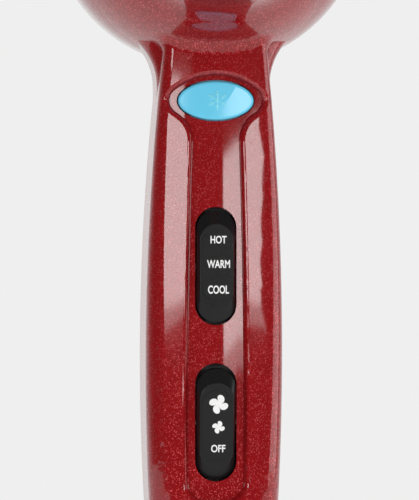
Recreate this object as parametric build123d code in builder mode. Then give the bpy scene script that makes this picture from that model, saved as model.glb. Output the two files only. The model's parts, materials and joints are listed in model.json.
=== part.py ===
from build123d import *
import os
from math import cos, pi, radians, sin, sqrt

# Hair dryer: a bellied barrel with the fan and the heater, on a grip with two rockers and a cool-shot button.
# Frame: the origin is the mouth of the cord gland, +Z runs up the grip and the air leaves towards -Y.

# Barrel
barrel_radius = 46.0  # where it is widest
barrel_crown = 6.0  # grip axis back to the widest place
barrel_bow = 70.0  # lengthwise radius in front of the widest place
barrel_tube_radius = 30.5  # where the front tube leaves the belly
barrel_throat = 30.0  # rounding between belly and front tube
barrel_front_radius = 29.0
barrel_rear_radius = 39.5
barrel_front = 100.0  # grip axis to the front edge
barrel_rear = 62.0  # grip axis to the rear edge
wall = 2.5

# Grip, from its foot upwards
grip_foot = 16.0  # above the gland's mouth
foot_to_speed = 38.0
rocker_pitch = 44.7
temperature_to_button = 47.3
button_to_barrel = 10.8  # button centre to the underside of the barrel
speed_to_belly = 18.0
belly_half_width = 19.7
neck_half_width = 16.4  # level with the button
belly_back = 22.5  # grip axis to the back
neck_back = 17.5
grip_front = 21.0  # grip axis to the crown of the front
front_crown = 60.0  # radius of the front, seen along the grip
front_corner_foot = 9.0
front_corner_neck = 4.0
back_corner = 14.0
blend_radius = 5.0  # between grip and barrel
flare_radius = 18.0  # sweep of the sides out into the barrel
flare_start = 4.5  # above the button
flare_top = 19.0
flare_front = 14.0  # grip axis to the front of the sweep
flare_inset = 0.1
flare_sections = 6
grip_sections = 6
grip_reach = 10.0  # how far the grip runs up into the barrel
split_back = 2.0  # grip axis to the parting face
split_drop = 9.0  # button centre down to the top of the rear cover
seam = 0.1

# Spoon-shaped recess in the front of the grip
recess_depth = 2.3
floor_wall = 2.3
recess_draft = 18.0
floor_crown = 75.0  # radius of the floor, seen along the grip
dish_half_width = 13.2
dish_half_height = 6.7
dish_end_radius = 3.6
channel_top_half = 5.9
channel_mid_half = 7.3
channel_low_half = 7.7
channel_tail = 5.0  # past the lower end of the speed rocker
channel_corner = 5.0
spoon_neck_radius = 9.0
rim_round = 1.2
recess_cut = 9.0

# Rockers
slot_width = 11.9
slot_length = 33.8
slot_side_gap = 0.4
slot_end_gap = 0.9
rocker_skirt = 2.0  # behind the recess floor
rocker_shoulder = 0.4  # in front of the recess floor
rocker_height = 2.4
crown_width = 9.6
crown_length = 24.2
pad_width = 8.5
pad_length = 20.0
pad_rise = 0.3
crown_round = 0.5
rocker_pivot = 4.5  # behind the recess floor
rocker_tilt = 6.0
stem_width = 5.0
stem_length = 6.0
rocker_pin_radius = 1.0
running_clearance = 0.05
slip_clearance = 0.02

# Rocker switch bodies, each held by two ears
switch_width = 15.6
switch_length = 36.6
switch_depth = 13.0
switch_side_wall = 1.3
switch_end_wall = 0.9
switch_well = 8.0
ear_x = 6.0
ear_width = 5.6
ear_length = 8.0
ear_thickness = 2.5
ear_boss = 4.0
terminal_pitch = 9.0
terminal_width = 4.8
terminal_thickness = 0.8
terminal_length = 7.0

# Screws
boss_radius = 2.7
screw_radius = 1.2
screw_head_radius = 2.3
screw_head = 1.6
screw_clearance = 0.05
head_clearance = 0.3
screw_bite = 3.2
grip_boss_radius = 2.8
grip_screw_bite = 9.0
grip_screw_seat = 3.0
tube_radius = 3.8
lower_screw_rise = 10.0  # above the foot of the grip
upper_screw_drop = 17.0  # below the button

# Cool-shot button
button_half_width = 10.85
button_half_height = 5.55
button_gap = 0.35
button_proud = 1.2
button_round = 0.8
button_dome = 85.0  # radius of the crowned face, seen along the grip
button_lean = 2.0  # how far the face looks down
flange_width = 14.0
flange_rim = 1.2
flange_thickness = 1.5
flange_gap = 0.25
button_stem_radius = 2.4
button_stem_bite = 0.5
cool_boss_x = 9.5
cool_boss_drop = 10.5
cool_boss = 8.0
cool_plate = 2.0
cool_plate_half_width = 12.3
cool_plate_rise = 5.0
cool_box_width = 16.0
cool_box_height = 10.0
cool_box_depth = 10.0
cool_well = 5.0
stem_clearance = 0.4
spring_wire = 0.6
spring_radius = 3.4
spring_turns = 3
spring_seat_gap = 0.15

# End cap, hanging eye and cord gland
cap_height = 10.0
cap_floor = 3.0
cap_plug = 5.0
cap_wall = 2.0
cap_round = 4.0
fit_gap = 0.15
eye_radius = 7.0
eye_hole_radius = 4.2
eye_thickness = 5.0
eye_back = 12.0
eye_drop = 1.2  # top of the hole below the cap
gland_hole_radius = 5.0
gland_bore_radius = 3.6
gland_lip_radius = 6.8
gland_lip = 1.6
clamp_width = 26.0
clamp_depth = 7.0
clamp_height = 4.0
clamp_screw_x = 9.5
clamp_boss = 6.0

# Nozzle collar and outlet grille
collar_radius = 25.5
collar_length = 13.0
collar_flange = 3.0
collar_wall = 2.7
collar_spigot = 14.0
spigot_wall = 2.15
grille_thickness = 2.0
grille_rings = 5
grille_bar = 1.2
grille_hub = 4.0
grille_spokes = 6

# Rear intake ring, filter cover and its hinge
ring_flange = 3.0
ring_spigot = 8.0
ring_step = 1.35  # the ring's opening inside the bore of the duct
cover_gap = 0.35
cover_inset = 1.0
cover_rim = 2.5
cover_rim_depth = 3.6
cover_plate = 3.0
cover_dome = 2.2
cover_round = 0.8
cover_slots = 6
cover_slot = 2.4
cover_hub = 7.0
cover_ribs = 8
cover_rib = 2.4
hinge_drop = 1.6  # pin below the rim of the ring
hinge_back = 2.6  # pin behind the ring
knuckle_radius = 2.3
knuckle_length = 11.0
lug_length = 4.0
lug_gap = 0.35
hinge_pin_radius = 1.0
tab_width = 12.0
tab_height = 3.0
tab_depth = 3.0
mesh_thickness = 0.6
mesh_pitch = 4.0
mesh_hole_radius = 1.45
mesh_rim = 2.5

# Fan duct and motor, along the barrel from the grip axis
duct_front = 22.0
duct_wall = 1.8
duct_fit = 0.25
duct_front_gap = 0.9  # to the narrowing barrel at the front of the duct
duct_lip = 8.0
duct_lip_wall = 1.9
duct_shelf = 3.0
duct_ribs = (30.0, -14.0)
duct_rib = 2.0
duct_stop = 3.0  # how far the front stop reaches in past the duct
vane_count = 6
vane_thickness = 1.6
holder_wall = 1.6
holder_plate = 2.0
holder_length = 32.0
holder_hole_radius = 6.0
motor_rear = 20.0  # rear face of the can
motor_radius = 17.5
can_length = 31.0
can_wall = 1.2
can_face = 1.5
bell_length = 11.0
bell_face = 2.0
bell_wall = 2.5
bearing_radius = 4.0
bearing_length = 5.0
bearing_boss = 1.5
shaft_radius = 1.6
shaft_tail = 2.0
magnet_thickness = 2.0
magnet_length = 20.0
magnet_span = 130.0
air_gap = 0.6
core_length = 16.0
core_clear = 1.5  # behind the winding
core_slots = 5
slot_depth = 6.0
slot_span = 3.4
winding_overhang = 3.0
winding_clearance = 0.15
winding_inset = 0.4
commutator_radius = 4.0
commutator_length = 6.0
commutator_clear = 1.0  # in front of the winding
commutator_bars = 10
commutator_slit = 0.4
commutator_slit_depth = 1.2
brush_width = 4.0
brush_thickness = 3.0
brush_gap = 0.2
board_thickness = 1.6
board_hole_radius = 5.0
diode_radius = 1.3
diode_length = 5.0
diode_circle = 10.5
motor_screw_circle = 9.0
fan_gap = 1.0
fan_length = 16.0
fan_hub_radius = 13.0
fan_hub_wall = 2.0
fan_standoff = 3.0  # behind the holder plate
fan_blades = 9
blade_thickness = 1.5
blade_root_angle = 35.0
blade_tip_angle = 55.0

# Heater
liner_thickness = 0.5
liner_fit = 0.15
mica_thickness = 0.8
mica_margin = 0.15
mica_setback = 9.0  # rear edge in front of the duct's shelf
mica_end_gap = 2.0
mica_joint_gap = 0.1
coil_margin = 4.2  # winding centre line in from the liner
coil_wire = 2.0
coil_turns = 7
coil_pitch = 6.5
coil_start = 4.0  # from the rear edge of the boards
notch_clearance = 0.25
stat_width = 9.0
stat_length = 14.0
stat_thickness = 2.0
stat_offset = 10.0
fuse_radius = 1.6
fuse_length = 11.0

# Heights that follow from the grip's chain of sizes
speed_z = grip_foot + foot_to_speed
temperature_z = speed_z + rocker_pitch
button_z = temperature_z + temperature_to_button
barrel_z = button_z + button_to_barrel + barrel_radius
belly_z = speed_z + speed_to_belly
split_z = button_z - split_drop
grip_top = barrel_z - barrel_radius + grip_reach

# Depths at the front of the grip
floor_y = recess_depth - grip_front
inner_y = floor_y + floor_wall

# Radii that follow from the barrel's ends
spigot_radius = barrel_front_radius - wall - fit_gap
liner_radius = spigot_radius - liner_fit

barrel_plane = Plane(origin=(0, 0, barrel_z), x_dir=(0, 1, 0), z_dir=(1, 0, 0))
barrel_axis = Axis((0, 0, barrel_z), (0, 1, 0))


def facing(y, z=0.0):
    """Plane that looks out of the front, with its own X along X and its own Y up."""
    return Plane(origin=(0, y, z), x_dir=(1, 0, 0), z_dir=(0, -1, 0))


def bow_radius(run, drop):
    """Radius of an arc that falls by drop over a run from its crown."""
    return (run**2 + drop**2) / (2 * drop)


def sag(run, radius):
    """How far an arc has fallen at a run from its crown."""
    return radius - sqrt(radius**2 - run**2)


rear_run = barrel_rear - barrel_crown
rear_bow = bow_radius(rear_run, barrel_radius - barrel_rear_radius)
floor_fall = sag(dish_half_width, floor_crown)
side_bow = bow_radius(button_z - belly_z, belly_half_width - neck_half_width)
back_bow = bow_radius(button_z - belly_z, belly_back - neck_back)


def half_width(z):
    return belly_half_width - sag(z - belly_z, side_bow)


def back_y(z):
    return belly_back - sag(z - belly_z, back_bow)


def front_corner(z):
    share = (z - grip_foot) / (button_z - grip_foot)
    return front_corner_foot + share * (front_corner_neck - front_corner_foot)


def barrel_skin(y):
    """Radius of the middle of the barrel's wall, where an inner rib ends."""
    run = y - barrel_crown
    return barrel_radius - sag(run, rear_bow if run > 0 else barrel_bow) - wall / 2


# The duct goes in through the rear edge and ends where the belly narrows towards the front
duct_mouth = barrel_rear_radius - wall - duct_fit
duct_seat = barrel_skin(-duct_front) - wall / 2 - duct_front_gap
duct_radius = min(duct_mouth, duct_seat)
duct_inner = duct_radius - duct_wall
ring_inner_radius = duct_inner - ring_step


def across(y):
    """Plane square to the barrel that looks towards the rear."""
    return Plane(origin=(0, y, barrel_z), x_dir=(1, 0, 0), z_dir=(0, 1, 0))


def band(y0, y1, r0, r1):
    """Rectangle in a section along the barrel, to be revolved into a ring."""
    with Locations(((y0 + y1) / 2, (r0 + r1) / 2)):
        Rectangle(y1 - y0, r1 - r0)


def barrel_form(inset):
    """Bellied barrel, revolved from an arc that runs into the front tube and a longer one to the rear."""
    crown = barrel_radius - inset
    bow = barrel_bow - inset
    tube = barrel_tube_radius - inset
    throat_run = sqrt(bow**2 - (bow - crown + tube) ** 2)
    rear_mid = crown - sag(rear_run / 2, rear_bow)
    rear_end = barrel_rear_radius - inset
    with BuildPart() as form:
        with BuildSketch(barrel_plane) as profile:
            with BuildLine():
                ThreePointArc(
                    (barrel_crown - throat_run, tube),
                    (barrel_crown - throat_run / 2, crown - sag(throat_run / 2, bow)),
                    (barrel_crown, crown),
                )
                ThreePointArc(
                    (barrel_crown, crown), (barrel_crown + rear_run / 2, rear_mid), (barrel_rear, rear_end)
                )
                Polyline((barrel_rear, rear_end), (barrel_rear, 0), (-barrel_front, 0))
                Polyline(
                    (-barrel_front, 0),
                    (-barrel_front, barrel_front_radius - inset),
                    (barrel_crown - throat_run, tube),
                )
            make_face()
            throat = profile.vertices().sort_by_distance((barrel_crown - throat_run, tube))[0]
            fillet(throat, barrel_throat + inset)
        revolve(axis=barrel_axis)
    return form.part


def grip_section(z, inset, front, crown=0.0):
    """Round-backed outline of the grip at a height, with a front that is flat or falls off by crown."""
    side = half_width(z) - inset
    back = back_y(z) - inset
    with BuildSketch(Plane.XY.offset(z)) as section:
        with BuildLine():
            if crown:
                ThreePointArc((-side, crown - front), (0, -front), (side, crown - front))
            else:
                Line((-side, -front), (side, -front))
            Polyline((side, crown - front), (side, back), (-side, back), (-side, crown - front))
        make_face()
        fillet(section.vertices().sort_by(Axis.Y)[:2], front_corner(z) - inset)
        fillet(section.vertices().sort_by(Axis.Y)[-2:], back_corner - inset)
    return section.sketch


def outer_section(z):
    return grip_section(z, 0, grip_front, sag(half_width(z), front_crown))


def inner_section(z, extra=0.0):
    return grip_section(z, wall + extra, -inner_y - extra)


def grip_form(section):
    """Grip lofted through sections from its foot into the barrel."""
    step = (grip_top - grip_foot) / (grip_sections - 1)
    with BuildPart() as form:
        for index in range(grip_sections):
            add(section(grip_foot + index * step))
        loft()
    return form.part


def flare_form():
    """Sweep of the grip's sides and back out into the barrel, lofted behind the flat front."""
    step = flare_top / (flare_sections - 1)
    with BuildPart() as form:
        for index in range(flare_sections):
            out = sag(max(index * step - flare_start, 0), flare_radius) - flare_inset
            back = neck_back + out
            with BuildSketch(Plane.XY.offset(button_z + index * step)) as section:
                with Locations((0, (back - flare_front) / 2)):
                    Rectangle(2 * (neck_half_width + out), back + flare_front)
                fillet(section.vertices().sort_by(Axis.Y)[:2], front_corner_neck + out)
                fillet(section.vertices().sort_by(Axis.Y)[-2:], back_corner + out)
        loft()
    return form.part


def recess_outline():
    """Spoon outline at the foot of the recess walls: an oval dish that runs into a widening channel."""
    big = (dish_half_width**2 + dish_half_height**2 - 2 * dish_half_width * dish_end_radius) / (
        2 * (dish_half_height - dish_end_radius)
    )
    end_x = dish_half_width - dish_end_radius
    reach = dish_end_radius / (big - dish_end_radius)
    meet_x = end_x * (1 + reach)
    meet_z = (big - dish_half_height) * reach
    foot_z = speed_z - slot_length / 2 - channel_tail
    with BuildSketch(facing(floor_y + floor_fall)) as outline:
        with BuildLine():
            for side in (1, -1):
                ThreePointArc(
                    (-meet_x, button_z + side * meet_z),
                    (0, button_z + side * dish_half_height),
                    (meet_x, button_z + side * meet_z),
                )
                ThreePointArc(
                    (side * meet_x, button_z + meet_z),
                    (side * dish_half_width, button_z),
                    (side * meet_x, button_z - meet_z),
                )
        make_face()
        with BuildLine():
            for side in (1, -1):
                ThreePointArc(
                    (side * channel_top_half, button_z),
                    (side * channel_mid_half, temperature_z),
                    (side * channel_low_half, foot_z),
                )
            Line((-channel_top_half, button_z), (channel_top_half, button_z))
            Line((-channel_low_half, foot_z), (channel_low_half, foot_z))
        make_face()
        fillet(outline.vertices().group_by(Axis.Y)[0], channel_corner)
        neck_low = button_z - dish_half_height
        neck = [v for v in outline.vertices() if neck_low < v.Y < button_z - meet_z]
        fillet([v for v in neck if abs(v.X) < channel_mid_half], spoon_neck_radius)
    return outline.sketch


def recess_form():
    """The recess as a solid, with its floor crowned across the grip."""
    with BuildPart() as form:
        extrude(recess_outline(), amount=recess_cut, taper=-recess_draft)
        with Locations((0, floor_y + floor_crown, grip_top / 2)):
            Cylinder(floor_crown, grip_top, mode=Mode.SUBTRACT)
    return form.part


def pan_screw(seat, direction, bite):
    """Pan-head screw whose head sits on a seat and whose shank runs against the direction."""
    with BuildPart() as screw:
        with BuildSketch(Plane(origin=seat, z_dir=direction)):
            Circle(screw_head_radius)
        extrude(amount=screw_head)
        with BuildSketch(Plane(origin=seat, z_dir=direction)):
            Circle(screw_radius)
        extrude(amount=-bite)
    return screw.part


def wound_tube(radius, pitch, turns, wire, plane):
    """Helix of quarter turns, each a pair of tangent arcs, with straight ends, swept by a round wire."""
    climb = pitch / (2 * pi)

    def point(angle):
        return Vector(radius * cos(angle), radius * sin(angle), climb * angle)

    def heading(angle):
        return Vector(-radius * sin(angle), radius * cos(angle), climb).normalized()

    count = 4 * turns
    with BuildPart() as tube:
        with BuildLine():
            first, last = point(0), point(count * pi / 2)
            Line(first - heading(0) * wire, first)
            for index in range(count):
                start, end = index * pi / 2, (index + 1) * pi / 2
                t0, t1 = heading(start), heading(end)
                chord = point(end) - point(start)
                total = t0 + t1
                spare = 4 - total.dot(total)
                along = chord.dot(total)
                reach = (sqrt(along**2 + spare * chord.dot(chord)) - along) / spare
                middle = (point(start) + point(end) + (t0 - t1) * reach) / 2
                turn = (point(end) - t1 * reach) - (point(start) + t0 * reach)
                TangentArc(point(start), middle, tangent=t0)
                TangentArc(middle, point(end), tangent=turn)
            Line(last, last + heading(count * pi / 2) * wire)
        with BuildSketch(Plane(origin=first - heading(0) * wire, z_dir=heading(0))):
            Circle(wire / 2)
        sweep()
    return plane.location * tube.part


def save(part, name):
    part.label = name
    export_step(part, f"parts/{name}.step")


os.makedirs("parts", exist_ok=True)

outer_barrel = barrel_form(0)
outer_grip = grip_form(outer_section)
inner_grip = grip_form(inner_section)
spoon = recess_form()

# Bosses that stand on the inside of the grip's front: x, z and height of each
ear_offset = switch_length / 2 + ear_length / 2
ear_places = []
for centre in (speed_z, temperature_z):
    ear_places += [(-ear_x, centre + ear_offset), (ear_x, centre - ear_offset)]
cool_places = [(side * cool_boss_x, button_z - cool_boss_drop) for side in (-1, 1)]
screw_heights = (grip_foot + lower_screw_rise, button_z - upper_screw_drop)


# Barrel and front of the grip, one moulding
with BuildPart() as main_housing:
    add(outer_barrel)
    add(outer_grip)
    fillet(new_edges(outer_barrel, outer_grip, combined=main_housing.part), blend_radius)
    add(flare_form())
    blended = main_housing.part
    add(spoon, mode=Mode.SUBTRACT)
    fillet(new_edges(blended, spoon, combined=main_housing.part), rim_round)
    add(barrel_form(wall), mode=Mode.SUBTRACT)
    add(inner_grip, mode=Mode.SUBTRACT)
    with BuildSketch(facing(inner_y)):
        for x, z in ear_places + cool_places + [(0, z) for z in screw_heights]:
            with Locations((x, z)):
                Circle(boss_radius)
    extrude(amount=floor_wall / 2)
    with BuildSketch(facing(inner_y)):
        with Locations(*ear_places):
            Circle(boss_radius)
    extrude(amount=-ear_boss)
    with BuildSketch(facing(inner_y)):
        with Locations(*cool_places):
            Circle(boss_radius)
    extrude(amount=-cool_boss)
    with BuildSketch(facing(inner_y)):
        with Locations(*[(0, z) for z in screw_heights]):
            Circle(grip_boss_radius)
    extrude(amount=inner_y - split_back)
    for y, places, depth in (
        (inner_y + ear_boss, ear_places, screw_bite + screw_clearance),
        (inner_y + cool_boss, cool_places, screw_bite + screw_clearance),
        (split_back, [(0, z) for z in screw_heights], grip_screw_bite + screw_clearance),
    ):
        with BuildSketch(facing(y)):
            with Locations(*places):
                Circle(screw_radius + screw_clearance)
        extrude(amount=depth, mode=Mode.SUBTRACT)
    with BuildSketch(facing(inner_y)):
        with Locations((0, button_z)):
            Ellipse(button_half_width + button_gap, button_half_height + button_gap)
        with Locations((0, temperature_z), (0, speed_z)):
            SlotOverall(slot_length, slot_width, rotation=90)
    extrude(amount=floor_wall + recess_depth / 2, mode=Mode.SUBTRACT)
    with BuildSketch(barrel_plane):
        for y in duct_ribs:
            band(y - duct_rib / 2, y + duct_rib / 2, duct_radius + duct_fit, barrel_skin(y))
        band(-duct_front - duct_rib, -duct_front, duct_radius - duct_stop, barrel_skin(-duct_front))
    revolve(axis=barrel_axis)
    with BuildSketch(Plane.XY.offset(grip_foot)):
        with Locations((0, split_back + belly_back)):
            Rectangle(4 * belly_half_width, 2 * belly_back)
    extrude(amount=split_z - grip_foot, mode=Mode.SUBTRACT)
save(main_housing.part, "main_housing")

# Rear half of the grip, held by two screws in deep tubes
with BuildPart() as handle_rear_cover:
    add(outer_grip)
    add(inner_grip, mode=Mode.SUBTRACT)
    for z in screw_heights:
        with BuildSketch(facing(split_back + seam)):
            with Locations((0, z)):
                Circle(tube_radius)
        extrude(amount=split_back + seam - back_y(z) + wall / 2)
    with BuildSketch(Plane.XY.offset(grip_foot)):
        with Locations((0, split_back + seam + belly_back)):
            Rectangle(4 * belly_half_width, 2 * belly_back)
    extrude(amount=split_z - seam - grip_foot, mode=Mode.INTERSECT)
    with BuildSketch(facing(split_back)):
        with Locations(*[(0, z) for z in screw_heights]):
            Circle(screw_radius + head_clearance)
    extrude(amount=-2 * belly_back, mode=Mode.SUBTRACT)
    with BuildSketch(facing(split_back + seam + grip_screw_seat)):
        with Locations(*[(0, z) for z in screw_heights]):
            Circle(screw_head_radius + head_clearance)
    extrude(amount=-2 * belly_back, mode=Mode.SUBTRACT)
save(handle_rear_cover.part, "handle_rear_cover")

with BuildPart() as handle_screws:
    for z in screw_heights:
        seat = (0, split_back + seam + grip_screw_seat, z)
        add(pan_screw(seat, (0, 1, 0), seam + grip_screw_seat + grip_screw_bite))
save(handle_screws.part, "handle_screws")

# End cap with the cord's way out and the hanging eye
cap_bottom = grip_foot - cap_height
cap_top = cap_bottom + cap_floor
eye_z = cap_bottom - eye_drop - eye_hole_radius
clamp_y = gland_bore_radius
with BuildPart() as handle_end_cap:
    add(outer_section(grip_foot))
    extrude(amount=-cap_height)
    fillet(handle_end_cap.faces().sort_by(Axis.Z)[0].edges(), cap_round)
    add(inner_section(grip_foot, fit_gap))
    extrude(amount=cap_plug)
    hollow = inner_section(grip_foot, fit_gap + cap_wall)
    extrude(hollow, amount=cap_plug, mode=Mode.SUBTRACT)
    extrude(hollow, amount=cap_floor - cap_height, mode=Mode.SUBTRACT)
    with BuildSketch(Plane.XY.offset(cap_bottom + cap_floor / 2)):
        with Locations((-clamp_screw_x, clamp_y), (clamp_screw_x, clamp_y)):
            Circle(boss_radius)
    extrude(amount=cap_floor / 2 + clamp_boss)
    with BuildSketch(Plane.XY.offset(cap_top + clamp_boss)):
        with Locations((-clamp_screw_x, clamp_y), (clamp_screw_x, clamp_y)):
            Circle(screw_radius + screw_clearance)
    extrude(amount=-screw_bite - screw_clearance, mode=Mode.SUBTRACT)
    with BuildSketch(facing(eye_back + eye_thickness / 2)):
        with Locations((0, eye_z)):
            Circle(eye_radius)
        with Locations((0, (eye_z + cap_top) / 2)):
            Rectangle(2 * eye_radius, cap_top - eye_z)
    extrude(amount=eye_thickness)
    with BuildSketch(facing(eye_back + eye_thickness / 2)):
        with Locations((0, eye_z)):
            Circle(eye_hole_radius)
    extrude(amount=eye_thickness, mode=Mode.SUBTRACT)
    with BuildSketch(Plane.XY.offset(cap_bottom)):
        Circle(gland_hole_radius)
    extrude(amount=cap_floor, mode=Mode.SUBTRACT)
save(handle_end_cap.part, "handle_end_cap")

with BuildPart() as cord_gland:
    with BuildSketch(Plane.XZ):
        with BuildLine():
            Polyline(
                (gland_bore_radius, 0),
                (gland_hole_radius, 0),
                (gland_lip_radius, cap_bottom),
                (gland_hole_radius - slip_clearance, cap_bottom),
                (gland_hole_radius - slip_clearance, cap_top),
                (gland_lip_radius, cap_top),
                (gland_lip_radius, cap_top + gland_lip),
                (gland_bore_radius, cap_top + gland_lip),
                close=True,
            )
        make_face()
    revolve(axis=Axis.Z)
save(cord_gland.part, "cord_gland")

with BuildPart() as cord_clamp:
    with BuildSketch(Plane.XY.offset(cap_top + clamp_boss)):
        with Locations((0, clamp_y)):
            Rectangle(clamp_width, clamp_depth)
        Circle(gland_bore_radius, mode=Mode.SUBTRACT)
        with Locations((-clamp_screw_x, clamp_y), (clamp_screw_x, clamp_y)):
            Circle(screw_radius + screw_clearance, mode=Mode.SUBTRACT)
    extrude(amount=clamp_height)
save(cord_clamp.part, "cord_clamp")

with BuildPart() as cord_clamp_screws:
    for side in (-1, 1):
        seat = (side * clamp_screw_x, clamp_y, cap_top + clamp_boss + clamp_height)
        add(pan_screw(seat, (0, 0, 1), clamp_height + screw_bite))
save(cord_clamp_screws.part, "cord_clamp_screws")

# Two rocker switches: cap, pin and body
pivot_y = floor_y + rocker_pivot
for name, centre, tilt in (("temperature", temperature_z, 0.0), ("speed", speed_z, rocker_tilt)):
    with BuildPart() as rocker:
        cap_width = slot_width - 2 * slot_side_gap
        cap_length = slot_length - 2 * slot_end_gap
        with BuildSketch(facing(floor_y + rocker_skirt, centre)):
            SlotOverall(cap_length, cap_width, rotation=90)
        extrude(amount=rocker_skirt + rocker_shoulder)
        with BuildSketch(facing(floor_y - rocker_shoulder, centre)):
            SlotOverall(cap_length, cap_width, rotation=90)
        with BuildSketch(facing(floor_y - rocker_height, centre)):
            SlotOverall(crown_length, crown_width, rotation=90)
        loft()
        fillet(rocker.faces().sort_by(Axis.Y)[0].edges(), crown_round)
        with BuildSketch(facing(floor_y - rocker_height + crown_round, centre)):
            SlotOverall(pad_length, pad_width, rotation=90)
        extrude(amount=crown_round + pad_rise)
        with BuildSketch(facing(pivot_y + 2 * rocker_pin_radius, centre)):
            Rectangle(stem_width, stem_length)
        extrude(amount=rocker_pivot + 2 * rocker_pin_radius - rocker_skirt)
        with BuildSketch(Plane.YZ):
            with Locations((pivot_y, centre)):
                Circle(rocker_pin_radius + running_clearance)
        extrude(amount=stem_width, both=True, mode=Mode.SUBTRACT)
    save(rocker.part.rotate(Axis((0, pivot_y, centre), (1, 0, 0)), tilt), f"{name}_rocker")

    with BuildPart() as rocker_pin:
        with BuildSketch(Plane.YZ):
            with Locations((pivot_y, centre)):
                Circle(rocker_pin_radius)
        extrude(amount=switch_width / 2, both=True)
    save(rocker_pin.part, f"{name}_rocker_pin")

    with BuildPart() as switch_body:
        ears = [(-ear_x, ear_offset), (ear_x, -ear_offset)]
        with BuildSketch(facing(inner_y, centre)):
            Rectangle(switch_width, switch_length)
        extrude(amount=-switch_depth)
        with BuildSketch(facing(inner_y, centre)):
            Rectangle(switch_width - 2 * switch_side_wall, switch_length - 2 * switch_end_wall)
        extrude(amount=-switch_well, mode=Mode.SUBTRACT)
        with BuildSketch(facing(inner_y + ear_boss, centre)):
            with Locations(*ears):
                Rectangle(ear_width, ear_length)
        extrude(amount=-ear_thickness)
        with BuildSketch(facing(inner_y + ear_boss, centre)):
            with Locations(*ears):
                Circle(screw_radius + screw_clearance)
        extrude(amount=-ear_thickness, mode=Mode.SUBTRACT)
        with BuildSketch(Plane.YZ):
            with Locations((pivot_y, centre)):
                Circle(rocker_pin_radius + slip_clearance)
        extrude(amount=switch_width, both=True, mode=Mode.SUBTRACT)
    save(switch_body.part, f"{name}_switch_body")

with BuildPart() as switch_terminals:
    with BuildSketch(facing(inner_y + switch_depth)):
        for centre in (temperature_z, speed_z):
            with Locations((0, centre)):
                with GridLocations(0, terminal_pitch, 1, 3):
                    Rectangle(terminal_width, terminal_thickness)
    extrude(amount=-terminal_length)
save(switch_terminals.part, "switch_terminals")

# Cool-shot button, its return spring and its switch
flange_y = inner_y + flange_gap
plate_y = inner_y + cool_boss
with BuildPart() as cool_shot_button:
    with BuildSketch(facing(flange_y, button_z)):
        Ellipse(button_half_width, button_half_height)
    extrude(amount=flange_y - floor_y + button_proud)
    with Locations(Location((0, floor_y - button_proud + button_dome, button_z), (button_lean, 0, 0))):
        Cylinder(button_dome, 2 * flange_width, mode=Mode.INTERSECT)
    fillet(cool_shot_button.faces().sort_by(Axis.Y)[0].edges(), button_round)
    with BuildSketch(facing(flange_y, button_z)):
        Rectangle(flange_width, 2 * (button_half_height + button_gap + flange_rim))
    extrude(amount=-flange_thickness)
    with BuildSketch(facing(flange_y + flange_thickness, button_z)):
        Circle(button_stem_radius)
    extrude(amount=flange_y + flange_thickness - plate_y - button_stem_bite)
save(cool_shot_button.part, "cool_shot_button")

spring_start = flange_y + flange_thickness + spring_seat_gap + spring_wire / 2
spring_end = plate_y - spring_seat_gap - spring_wire / 2
spring_plane = Plane(origin=(0, spring_start, button_z), x_dir=(1, 0, 0), z_dir=(0, 1, 0))
spring_pitch = (spring_end - spring_start) / spring_turns
with BuildPart() as cool_button_spring:
    add(wound_tube(spring_radius, spring_pitch, spring_turns, spring_wire, spring_plane))
save(cool_button_spring.part, "cool_button_spring")

with BuildPart() as cool_switch_body:
    plate_low = -cool_boss_drop - boss_radius
    with BuildSketch(facing(plate_y, button_z)):
        with Locations((0, (cool_plate_rise + plate_low) / 2)):
            Rectangle(2 * cool_plate_half_width, cool_plate_rise - plate_low)
        with Locations(*[(x, z - button_z) for x, z in cool_places]):
            Circle(screw_radius + screw_clearance, mode=Mode.SUBTRACT)
    extrude(amount=-cool_plate)
    with BuildSketch(facing(plate_y + cool_plate, button_z)):
        Rectangle(cool_box_width, cool_box_height)
    extrude(amount=-cool_box_depth)
    with BuildSketch(facing(plate_y, button_z)):
        Circle(button_stem_radius + stem_clearance)
    extrude(amount=-cool_well, mode=Mode.SUBTRACT)
save(cool_switch_body.part, "cool_switch_body")

with BuildPart() as switch_screws:
    for x, z in ear_places:
        add(pan_screw((x, inner_y + ear_boss + ear_thickness, z), (0, 1, 0), ear_thickness + screw_bite))
    for x, z in cool_places:
        add(pan_screw((x, plate_y + cool_plate, z), (0, 1, 0), cool_plate + screw_bite))
save(switch_screws.part, "switch_screws")

# Nozzle collar and outlet grille
collar_back = -barrel_front - collar_flange
with BuildPart() as nozzle_collar:
    with BuildSketch(barrel_plane):
        band(collar_back - collar_length, collar_back, collar_radius - collar_wall, collar_radius)
        band(collar_back, -barrel_front, spigot_radius - spigot_wall, barrel_front_radius)
        band(-barrel_front, -barrel_front + collar_spigot, spigot_radius - spigot_wall, spigot_radius)
    revolve(axis=barrel_axis)
save(nozzle_collar.part, "nozzle_collar")


with BuildPart() as outlet_grille:
    grille_radius = spigot_radius - spigot_wall - fit_gap
    ring_step = (grille_radius - grille_hub) / grille_rings
    with BuildSketch(across(collar_back)):
        for index in range(grille_rings, 0, -1):
            Circle(grille_hub + index * ring_step)
            Circle(grille_hub + index * ring_step - grille_bar, mode=Mode.SUBTRACT)
        Circle(grille_hub)
        with PolarLocations(grille_radius / 2, grille_spokes):
            Rectangle(grille_radius - grille_bar, grille_bar)
    extrude(amount=grille_thickness)
save(outlet_grille.part, "outlet_grille")

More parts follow.
